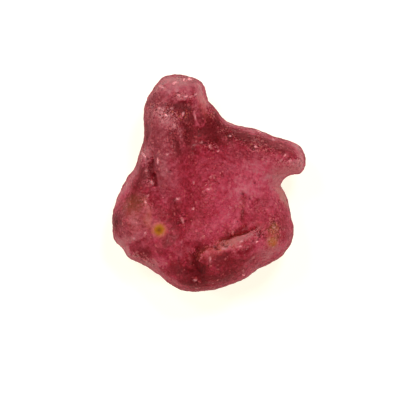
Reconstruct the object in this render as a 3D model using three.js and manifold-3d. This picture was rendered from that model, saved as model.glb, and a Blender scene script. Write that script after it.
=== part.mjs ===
// A rough, water-worn crystal of rhodolite garnet, lying on its back.
//
// Millimetres, +Z up. The origin is the middle of the bounding box in X and Y, on the resting face.
// +Y points to the knob, +X to the arm. The stone is one solid: a closed skin drawn round a field
// that is negative inside it, with the resting face cut flat at z = 0.

import * as THREE from "three";
import Module from "manifold-3d";

// ---- Driving dimensions --------------------------------------------------------------------

const WIDTH = 13.8; // left lobe to the tip of the arm, along X
const LENGTH = 15.5; // foot to the crown of the knob, along Y
const HEIGHT = 7.4; // resting face to the highest ridge, along Z
const CELL = 0.3; // spacing of the skin's first, even mesh
const TOLERANCE = 0.025; // how far the skin may move as its flatter patches are given fewer faces

// ---- The outline, seen from above ------------------------------------------------------------

const OUTLINE = [
  // the knob, from its left shoulder over the crown
  [-3.85, 6.85], [-3.2, 7.62], [-2.4, 7.75], [-1.4, 7.64], [-0.5, 7.3], [-0.2, 6.65], [-0.08, 6.05],
  // the saddle and the upper edge of the arm
  [0.45, 5.45], [1.2, 4.55], [1.95, 4.17], [3.5, 3.84], [4.5, 3.37], [6.1, 2.92],
  // the tip of the arm and the notch under it
  [6.68, 2.4], [6.88, 1.4], [6.72, 0.84], [6.38, 0.66], [5.75, 0.68], [5.3, 0.3], [4.98, -0.22],
  // the right flank
  [5.3, -0.45], [5.54, -1.1], [5.75, -2.1], [6.02, -3.3], [5.92, -4.2], [5.35, -5.15],
  // the foot
  [4.2, -5.85], [3.4, -6.2], [2.75, -6.75], [1.4, -7.3], [-0.3, -7.74], [-1.75, -7.66],
  [-2.85, -7.12], [-3.85, -6.33], [-4.8, -5.75], [-5.75, -5.35],
  // the left lobe
  [-6.12, -4.68], [-6.6, -4.3], [-6.87, -3.75], [-6.93, -2.7], [-6.55, -1.1], [-6.0, 0.1],
  // the waist, back up to the knob
  [-5.3, 1.1], [-4.95, 2.1], [-4.66, 2.9], [-4.62, 4.2], [-4.62, 5.1], [-4.4, 6.0],
];

const OUTLINE_STEPS = 180; // points along the smooth outline
const EVEN_RING = 12; // samples round a point that even out the inward depth
const EVEN_SHARE = 0.55; // their distance, as a share of that depth
const DEPTH_STEP = 0.2; // spacing of the table that keeps the inward depth

// ---- The body: its widest line, its crown above that and its belly below -----------------------

const MIDDLE = new THREE.Vector3(-0.3, -0.9, 3.2); // the swings and breaks are laid out round it
const RIM = { height: 3.1, reach: 1.75 }; // the widest line, and how far the edge rounds in from it
const CROWN = 3.0; // the upper side above the rim, before any relief
const BELLY = 2.35; // the lower side below the rim, before any relief
const FIELD_SCALE = 2.9; // turns a share of the local half-thickness into about a distance

// Slow swings round the stone: turns per lap, start in degrees, size. They die out at its middle.
const RIM_HEIGHT_SWINGS = [
  { turns: 1, start: 60, size: 0.35 },
  { turns: 2, start: 200, size: 0.3 },
  { turns: 3, start: 20, size: 0.22 },
];
const RIM_REACH_SWINGS = [
  { turns: 2, start: 120, size: 0.3 },
  { turns: 3, start: 250, size: 0.2 },
  { turns: 5, start: 80, size: 0.15 },
];
const SWING_START = 4; // distance from the middle at which a swing has its full size

// ---- Relief ---------------------------------------------------------------------------------

// Rounded swells (rise > 0) and dishes (rise < 0): half-widths along and across, turned from +X.
const UPPER_SWELLS = {
  knob_crown: { at: [-2.1, 6.7], along: 1.7, across: 0.95, turn: 5, rise: 0.75 },
  knob_valley: { at: [-1.7, 5.55], along: 1.6, across: 0.45, turn: -8, rise: -0.35 },
  knob_shoulder: { at: [-3.1, 4.4], along: 1.6, across: 1.0, turn: 125, rise: 0.45 },
  neck_hollow: { at: [0.0, 4.0], along: 1.3, across: 0.8, turn: -45, rise: -0.8 },
  central_dish: { at: [0.1, -0.5], along: 3.4, across: 2.0, turn: 80, rise: -1.6 },
  right_dish: { at: [3.6, 0.3], along: 1.6, across: 1.1, turn: 35, rise: -0.7 },
  left_lobe: { at: [-5.2, -2.8], along: 1.5, across: 1.2, turn: 75, rise: 0.5 },
  left_valley: { at: [-3.5, -1.7], along: 1.5, across: 0.55, turn: 105, rise: -0.4 },
  right_lump: { at: [4.7, -3.0], along: 1.7, across: 1.1, turn: 100, rise: 0.5 },
  foot_lump: { at: [2.0, -5.6], along: 2.2, across: 1.0, turn: 20, rise: 0.55 },
  foot_hollow: { at: [-1.15, -5.5], along: 1.5, across: 0.6, turn: 105, rise: -1.25 },
  left_foot: { at: [-3.7, -4.8], along: 1.3, across: 0.9, turn: -25, rise: 0.3 },
  toe: { at: [-1.6, -7.0], along: 1.1, across: 0.7, turn: 10, rise: 0.35 },
};

const LOWER_SWELLS = {
  belly: { at: [0.1, -1.5], along: 4.6, across: 3.9, turn: 80, rise: 1.15 },
  heel: { at: [-3.6, -3.6], along: 1.6, across: 1.3, turn: 20, rise: 0.35 },
  flank_heel: { at: [3.4, -3.2], along: 1.7, across: 1.3, turn: 110, rise: 0.35 },
  knob_lift: { at: [-2.4, 6.4], along: 2.4, across: 2.0, turn: 90, rise: -0.7 },
  arm_lift: { at: [5.8, 1.7], along: 2.0, across: 1.5, turn: -20, rise: -0.6 },
  side_scoop: { at: [-4.6, 0.9], along: 1.9, across: 1.2, turn: 70, rise: -0.5 },
  toe_scoop: { at: [1.2, -6.4], along: 1.9, across: 1.0, turn: 15, rise: -0.45 },
};

// Ridges (rise > 0) and grooves (rise < 0) along a path, each side with its own half-width.
// left and right are as seen by someone walking the path, and end is how it runs out past its ends.
const UPPER_RIDGES = {
  left_ridge: {
    path: [[-2.7, 3.0], [-2.5, 2.0], [-2.2, 0.9], [-2.15, -0.6], [-2.3, -2.2], [-2.3, -3.6]],
    rise: 0.7, left: 0.75, right: 1.9, end: 1.4,
  },
  arm_ridge: {
    path: [[0.2, 3.3], [1.8, 2.9], [4.0, 2.3], [6.0, 1.6]],
    rise: 0.75, left: 1.1, right: 1.4, end: 0.7,
  },
  dish_swell: {
    path: [[4.6, 0.7], [3.0, -0.7], [2.3, -2.0], [1.7, -3.2]],
    rise: 0.5, left: 0.5, right: 1.6, end: 0.7,
  },
  ledge: {
    path: [[-0.6, -5.2], [0.3, -4.8], [1.4, -4.55], [2.6, -4.3], [3.7, -3.6]],
    rise: 0.95, left: 0.5, right: 2.2, end: 0.9,
  },
  left_crevice: {
    path: [[-4.3, 1.9], [-4.05, 1.0], [-3.75, 0.1]],
    rise: -0.6, left: 0.35, right: 0.35, end: 0.5,
  },
  lobe_crease: {
    path: [[-6.0, -4.4], [-5.0, -4.3], [-4.1, -3.8]],
    rise: -0.45, left: 0.45, right: 0.45, end: 0.6,
  },
  waist_fold: {
    path: [[-4.9, 2.2], [-4.9, 0.8], [-5.4, -0.4]],
    rise: 0.3, left: 0.5, right: 0.6, end: 0.6,
  },
};
const PATH_STEPS = 16; // points along a smooth path

// Old breaks: planes that cut the edge back, by the way they face and their distance from the middle.
const BREAKS = [
  { azimuth: 205, elevation: -52, distance: 4.9 },
  { azimuth: 295, elevation: -50, distance: 5.3 },
  { azimuth: 75, elevation: -58, distance: 4.9 },
  { azimuth: 5, elevation: -56, distance: 4.4 },
  { azimuth: 130, elevation: -52, distance: 5.0 },
];
const BREAK_SOFTNESS = 0.35; // how far the corner of a break is worn round

// Worn unevenness all over: the size of its lumps and how far they stand out.
const WEAR = [
  { size: 2.9, depth: 0.22 },
  { size: 1.45, depth: 0.17 },
  { size: 0.8, depth: 0.08 },
];
const WEAR_AT_RIM = 0.25; // the widest line keeps to the outline, so it has this share of the wear
const WEAR_RIM_BAND = 1.2; // half-height of the band round it

// ---- Small tools ----------------------------------------------------------------------------

const { clamp, degToRad, lerp, smoothstep } = THREE.MathUtils;

// Repeatable noise from -1 to 1 that changes smoothly over one unit.
function latticeValue(i, j, k) {
  const n = Math.sin(i * 127.1 + j * 311.7 + k * 74.7) * 43758.5453;
  return 2 * (n - Math.floor(n)) - 1;
}

function noise(x, y, z) {
  const [i, j, k] = [Math.floor(x), Math.floor(y), Math.floor(z)];
  const [u, v, w] = [smoothstep(x - i, 0, 1), smoothstep(y - j, 0, 1), smoothstep(z - k, 0, 1)];
  const row = (b, c) => lerp(latticeValue(i, j + b, k + c), latticeValue(i + 1, j + b, k + c), u);
  return lerp(lerp(row(0, 0), row(1, 0), v), lerp(row(0, 1), row(1, 1), v), w);
}

// The greater of a and b, rounded over a width.
function smoothMax(a, b, width) {
  const share = clamp(0.5 + (a - b) / (2 * width), 0, 1);
  return lerp(b, a, share) + width * share * (1 - share);
}

function smoothPath(points, isClosed, steps) {
  const corners = points.map(([x, y]) => new THREE.Vector3(x, y, 0));
  return new THREE.CatmullRomCurve3(corners, isClosed, "centripetal").getSpacedPoints(steps);
}

// Where (x, y) lies from the segment a-b: distance, offset to its left, and how far past an end.
function fromSegment(a, b, x, y) {
  const [ex, ey] = [b.x - a.x, b.y - a.y];
  const length = Math.hypot(ex, ey);
  const along = ((x - a.x) * ex + (y - a.y) * ey) / length;
  const offset = (ex * (y - a.y) - ey * (x - a.x)) / length;
  const past = along - clamp(along, 0, length);
  return { distance: Math.hypot(offset, past), offset, past };
}

// A table of a function of x and y, read back by blending its four nearest entries.
function tabled(valueAt, low, high, step) {
  const across = Math.ceil((high.x - low.x) / step) + 2;
  const up = Math.ceil((high.y - low.y) / step) + 2;
  const values = Float32Array.from({ length: across * up }, (_, n) =>
    valueAt(low.x + (n % across) * step, low.y + Math.floor(n / across) * step));
  return (x, y) => {
    const u = clamp((x - low.x) / step, 0, across - 1.001);
    const v = clamp((y - low.y) / step, 0, up - 1.001);
    const [i, j] = [Math.floor(u), Math.floor(v)];
    const row = (n) => lerp(values[n * across + i], values[n * across + i + 1], u - i);
    return lerp(row(j), row(j + 1), v - j);
  };
}

// ---- The outline's inward depth --------------------------------------------------------------

const outline = smoothPath(OUTLINE, true, OUTLINE_STEPS);
const outlineBox = new THREE.Box3().setFromPoints(outline);

// Distance to the outline, positive inside it.
function exactDepth(x, y) {
  let least = Infinity;
  let isInside = false;
  for (let i = 0; i < OUTLINE_STEPS; i++) {
    const [a, b] = [outline[i], outline[i + 1]];
    least = Math.min(least, fromSegment(a, b, x, y).distance);
    if (a.y > y !== b.y > y && x < a.x + ((b.x - a.x) * (y - a.y)) / (b.y - a.y)) {
      isInside = !isInside;
    }
  }
  return isInside ? least : -least;
}

// The same, evened out deep inside, so that the middle line of the stone is no sharp ridge.
function evenDepth(x, y) {
  const depth = exactDepth(x, y);
  if (depth <= 0) return depth;
  let sum = 0;
  for (let i = 0; i < EVEN_RING; i++) {
    const angle = (2 * Math.PI * i) / EVEN_RING;
    const radius = EVEN_SHARE * depth;
    sum += exactDepth(x + radius * Math.cos(angle), y + radius * Math.sin(angle));
  }
  return sum / EVEN_RING;
}

const gridLow = outlineBox.min.clone().setZ(-1).subScalar(3 * CELL);
const gridHigh = outlineBox.max.clone().setZ(HEIGHT + 1).addScalar(3 * CELL);
const inwardDepth = tabled(evenDepth, gridLow, gridHigh, DEPTH_STEP);

// ---- Relief over x and y ----------------------------------------------------------------------

function swellHeight({ at, along, across, turn, rise }, x, y) {
  const [c, s] = [Math.cos(degToRad(turn)), Math.sin(degToRad(turn))];
  const [dx, dy] = [x - at[0], y - at[1]];
  const u = (dx * c + dy * s) / along;
  const v = (dy * c - dx * s) / across;
  return rise * Math.exp(-(u * u + v * v));
}

function ridgeHeight({ points, rise, left, right, end }, x, y) {
  let nearest = { distance: Infinity };
  for (let i = 0; i + 1 < points.length; i++) {
    const place = fromSegment(points[i], points[i + 1], x, y);
    if (place.distance < nearest.distance) nearest = place;
  }
  const side = nearest.offset / (nearest.offset > 0 ? left : right);
  const past = nearest.past / end;
  return rise * Math.exp(-(side * side + past * past));
}

const upperSwells = Object.values(UPPER_SWELLS);
const lowerSwells = Object.values(LOWER_SWELLS);
const upperRidges = Object.values(UPPER_RIDGES).map((ridge) => ({
  ...ridge, points: smoothPath(ridge.path, false, PATH_STEPS),
}));

const total = (features, heightOf, x, y) =>
  features.reduce((sum, feature) => sum + heightOf(feature, x, y), 0);

function swing(swings, x, y) {
  const [dx, dy] = [x - MIDDLE.x, y - MIDDLE.y];
  const angle = Math.atan2(dy, dx);
  const share = smoothstep(Math.hypot(dx, dy), 0, SWING_START);
  return share * swings.reduce(
    (sum, { turns, start, size }) => sum + size * Math.sin(turns * angle + degToRad(start)), 0);
}

// ---- The field: negative inside the stone, and about a distance near its skin -----------------

const breaks = BREAKS.map(({ azimuth, elevation, distance }) => {
  const level = Math.cos(degToRad(elevation));
  const [c, s] = [Math.cos(degToRad(azimuth)), Math.sin(degToRad(azimuth))];
  const normal = new THREE.Vector3(c * level, s * level, Math.sin(degToRad(elevation)));
  return new THREE.Plane(normal, -distance - normal.dot(MIDDLE));
});

// What depends on x and y alone.
function columnAt(x, y) {
  const reach = RIM.reach + swing(RIM_REACH_SWINGS, x, y);
  const upper = CROWN + total(upperSwells, swellHeight, x, y) + total(upperRidges, ridgeHeight, x, y);
  return {
    edge: 1 - Math.min(inwardDepth(x, y) / reach, 1),
    rim: RIM.height + swing(RIM_HEIGHT_SWINGS, x, y),
    upper,
    lower: BELLY + total(lowerSwells, swellHeight, x, y),
  };
}

const here = new THREE.Vector3();

function fieldInColumn({ edge, rim, upper, lower }, x, y, z) {
  const lift = (z - rim) / (z > rim ? upper : lower);
  let field = (Math.hypot(edge, lift) - 1) * FIELD_SCALE;
  here.set(x, y, z);
  for (const plane of breaks) field = smoothMax(field, plane.distanceToPoint(here), BREAK_SOFTNESS);
  const wearShare = lerp(WEAR_AT_RIM, 1, smoothstep(Math.abs(z - rim), 0, WEAR_RIM_BAND));
  for (const { size, depth } of WEAR) {
    field += wearShare * depth * noise(x / size, y / size, z / size);
  }
  return field;
}

// ---- The skin: one vertex in each cell that the surface crosses, one quad round each crossed edge

const CORNERS = [0, 1, 2, 3, 4, 5, 6, 7].map((n) => [n & 1, (n >> 1) & 1, n >> 2]);
const CELL_EDGES = CORNERS.flatMap((_, a) =>
  [1, 2, 4].filter((bit) => !(a & bit)).map((bit) => [a, a | bit]));
const STEPS = [[1, 0, 0], [0, 1, 0], [0, 0, 1]];

function sampleField(nx, ny, nz) {
  const values = new Float32Array(nx * ny * nz);
  for (let j = 0; j < ny; j++) {
    for (let i = 0; i < nx; i++) {
      const [x, y] = [gridLow.x + i * CELL, gridLow.y + j * CELL];
      const column = columnAt(x, y);
      for (let k = 0; k < nz; k++) {
        values[i + nx * (j + ny * k)] = fieldInColumn(column, x, y, gridLow.z + k * CELL);
      }
    }
  }
  return values;
}

// The mean of the points where the surface crosses a cell's edges, in cells from its first corner.
function crossingOf(corner) {
  const middle = new THREE.Vector3();
  let count = 0;
  for (const [a, b] of CELL_EDGES) {
    if (corner[a] < 0 === corner[b] < 0) continue;
    const [from, to] = [new THREE.Vector3(...CORNERS[a]), new THREE.Vector3(...CORNERS[b])];
    middle.add(from.lerp(to, corner[a] / (corner[a] - corner[b])));
    count += 1;
  }
  return count ? middle.divideScalar(count) : null;
}

function makeSkin() {
  const size = gridHigh.clone().sub(gridLow);
  const [nx, ny, nz] = size.toArray().map((length) => Math.ceil(length / CELL) + 1);
  const values = sampleField(nx, ny, nz);
  const indexOf = (i, j, k) => i + nx * (j + ny * k);
  const vertexOf = new Int32Array(values.length);
  const points = [];
  const quads = [];
  for (let k = 0; k + 1 < nz; k++) {
    for (let j = 0; j + 1 < ny; j++) {
      for (let i = 0; i + 1 < nx; i++) {
        const corner = CORNERS.map(([a, b, c]) => values[indexOf(i + a, j + b, k + c)]);
        const crossing = crossingOf(corner);
        if (!crossing) continue;
        vertexOf[indexOf(i, j, k)] = points.length;
        points.push(crossing.add(new THREE.Vector3(i, j, k)).multiplyScalar(CELL).add(gridLow));
        STEPS.forEach(([a, b, c], axis) => {
          const isInside = corner[0] < 0;
          if (isInside === values[indexOf(i + a, j + b, k + c)] < 0) return;
          const [u, v] = [STEPS[(axis + 1) % 3], STEPS[(axis + 2) % 3]];
          const cellAt = (m, n) => vertexOf[indexOf(
            i - m * u[0] - n * v[0], j - m * u[1] - n * v[1], k - m * u[2] - n * v[2])];
          const quad = [cellAt(0, 0), cellAt(1, 0), cellAt(1, 1), cellAt(0, 1)];
          quads.push(isInside ? quad : quad.reverse());
        });
      }
    }
  }
  return { points, quads };
}

// Each vertex moves towards the middle of its neighbours, then back onto the surface.
function settle({ points, quads }, rounds) {
  const neighbours = points.map(() => new Set());
  for (const quad of quads) {
    quad.forEach((a, n) => {
      const b = quad[(n + 1) % 4];
      neighbours[a].add(b);
      neighbours[b].add(a);
    });
  }
  const fieldAt = (p) => fieldInColumn(columnAt(p.x, p.y), p.x, p.y, p.z);
  const probe = CELL / 10;
  for (let round = 0; round < rounds; round++) {
    const evened = points.map((p, n) => {
      const middle = new THREE.Vector3();
      for (const m of neighbours[n]) middle.add(points[m]);
      return middle.divideScalar(neighbours[n].size).lerp(p, 0.5);
    });
    evened.forEach((p, n) => {
      const value = fieldAt(p);
      const slope = new THREE.Vector3(...STEPS.map((step) =>
        (fieldAt(p.clone().addScaledVector(new THREE.Vector3(...step), probe)) - value) / probe));
      const correction = clamp(value / slope.lengthSq(), -CELL / 2, CELL / 2);
      points[n] = p.addScaledVector(slope, -correction);
    });
  }
}

// Each quad is split along its shorter diagonal.
function trianglesOf({ points, quads }) {
  return quads.flatMap(([a, b, c, d]) =>
    points[a].distanceToSquared(points[c]) < points[b].distanceToSquared(points[d])
      ? [a, b, c, a, c, d]
      : [b, c, d, b, d, a]);
}

// ---- The solid: the skin cut flat at z = 0, thinned out and brought to its driving dimensions ----

const wasm = await Module();
wasm.setup();

function solidFrom(positions, triangles) {
  return new wasm.Manifold(new wasm.Mesh({
    numProp: 3,
    vertProperties: new Float32Array(positions),
    triVerts: new Uint32Array(triangles),
  }));
}

// A block whose top is the resting face, from the box's eight corners with the doubled ones merged.
function blockUnderRestingFace(size) {
  const box = new THREE.BoxGeometry(size, size, size).translate(0, 0, -size / 2);
  const place = box.getAttribute("position");
  const corners = [];
  const triangles = Array.from(box.index.array, (n) => {
    const corner = new THREE.Vector3().fromBufferAttribute(place, n);
    const known = corners.findIndex((other) => other.equals(corner));
    return known < 0 ? corners.push(corner) - 1 : known;
  });
  return solidFrom(corners.flatMap((corner) => corner.toArray()), triangles);
}

function geometryOf(solid) {
  const { vertProperties, triVerts } = solid.getMesh();
  return new THREE.BufferGeometry()
    .setAttribute("position", new THREE.BufferAttribute(vertProperties, 3))
    .setIndex(new THREE.BufferAttribute(triVerts, 1));
}

function toDrivingSize(geometry) {
  geometry.computeBoundingBox();
  const { min, max } = geometry.boundingBox;
  geometry.translate(-(min.x + max.x) / 2, -(min.y + max.y) / 2, 0);
  geometry.scale(WIDTH / (max.x - min.x), LENGTH / (max.y - min.y), HEIGHT / max.z);
  geometry.computeVertexNormals();
  return geometry;
}

function stoneGeometry() {
  const skin = makeSkin();
  settle(skin, 3);
  const whole = solidFrom(skin.points.flatMap((p) => p.toArray()), trianglesOf(skin));
  const rested = whole.subtract(blockUnderRestingFace(4 * LENGTH)).simplify(TOLERANCE);
  return toDrivingSize(geometryOf(rested));
}

const rhodolite = new THREE.MeshStandardMaterial({ color: 0x9a3c48, roughness: 0.45, metalness: 0 });
const stone = new THREE.Mesh(stoneGeometry(), rhodolite);
stone.name = "garnet_crystal";

const part = new THREE.Group();
part.add(stone);

export default part;
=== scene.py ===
"""A rough rhodolite garnet lying on a pale floor, seen from straight above.

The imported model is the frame. Its one node is replaced by a finer closed skin of the same stone:
the node's solid is meshed again evenly, smoothed, and given the etched relief that is too small for
it. Lengths are millimetres in the frame's axes, and become metres where a Blender object is made.
"""

import bpy
import numpy as np
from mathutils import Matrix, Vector, noise


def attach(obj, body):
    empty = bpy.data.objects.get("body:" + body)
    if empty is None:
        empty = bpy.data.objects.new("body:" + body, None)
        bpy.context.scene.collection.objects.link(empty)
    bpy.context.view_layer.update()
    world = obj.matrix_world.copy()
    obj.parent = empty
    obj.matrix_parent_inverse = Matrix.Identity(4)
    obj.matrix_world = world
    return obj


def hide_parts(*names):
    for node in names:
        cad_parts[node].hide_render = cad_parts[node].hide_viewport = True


MM = 0.001
NODE = "garnet_crystal"

# ---- The photograph's frame ---------------------------------------------------------------------

IMAGE_WIDTH = 400  # pixels
PIXELS_PER_MM = 14.0
AIM = (-0.607, -1.179)  # the point under the middle of the image
RIM_HEIGHT = 3.1  # the stone's widest line, where that scale holds
CAMERA_DISTANCE = 300.0
CAMERA_REACH = (10.0, 2000.0)  # nothing nearer or farther is rendered
SENSOR = 36.0

# ---- The stage ----------------------------------------------------------------------------------

WALLS = 0.25  # the brightness of the white walls round the stage
CEILING = 0.08  # and of the white ceiling over it
WALL_TOP = (0.25, 0.6)  # the walls fade into the ceiling between these heights of a unit direction
FLOOR_HALF = 150.0
FLOOR_GAP = 0.01  # the floor lies this far under the resting face, so that the two don't coincide
FLOOR_COLOUR = (0.35, 0.35, 0.35)
FLOOR_GLOW = (0.9, 0.86, 0.71)
FLOOR_ROUGHNESS = 0.9
LAMPS = {  # place, diameter and power
    "key": ((50, 100, 210), 50, 0.28),
    "fill": ((-70, 80, 210), 45, 0.14),
    "right": ((150, -40, 130), 45, 0.11),
    "left": ((-140, 20, 130), 45, 0.11),
}

# ---- The fine skin ------------------------------------------------------------------------------

SKIN_STEP = 0.086  # spacing of the fine mesh
SMOOTH_ROUNDS = 20
FACING_UP = (0.0, 0.35)  # the upper side's features fade in between these heights of the normal
LEVEL = (0.75, 0.93)  # and its smoother polish between these
RIM = (0.15, 0.6)  # below these the edge is painted paler and greyer, a painted glow and sheen of light at its thin edge

FRACTAL = (0.7, 2.0, 3)  # the noise's falloff, the step between its layers and their number
FRACTAL_SHIFT = np.array([17.3, -9.1, 5.7])  # from one seed of the noise to the next

# Soft unevenness all over: the size of its lumps and how far they stand out.
ROLLING = [
    {"size": 1.3, "height": 0.05},
    {"size": 0.5, "height": 0.04},
    {"size": 0.22, "height": 0.02},
]

# How far the outlines of patches and seams stray, and over what length.
PATCH_WOBBLE = 0.18
SEAM_WOBBLE = 0.06
WOBBLE_SIZE = 0.6
WOBBLE_SEEDS = (21, 22)  # for x and y

# The upper side's features. A patch is a soft oval and a seam follows a path. Each may do some of
# these, or their opposite where the number is negative:
EFFECTS = (
    "rise",  # raises the skin
    "painted_light_and_tone",  # makes it paler, or darker where negative: partly its own tone, partly painted light and shade
    "dust_and_sheen",  # makes it duller and greyer: partly dull frosted skin, partly a painted sheen of reflected light
    "matt",  # takes its shine away
    "speckle",  # strews it with small crystal grains, pale partly as painted glints
    "amber",  # makes that share of them amber
    "ochre",  # stains it ochre
    "olive",  # stains it olive
    "pit",  # sinks it in and darkens it with painted shade
)

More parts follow.
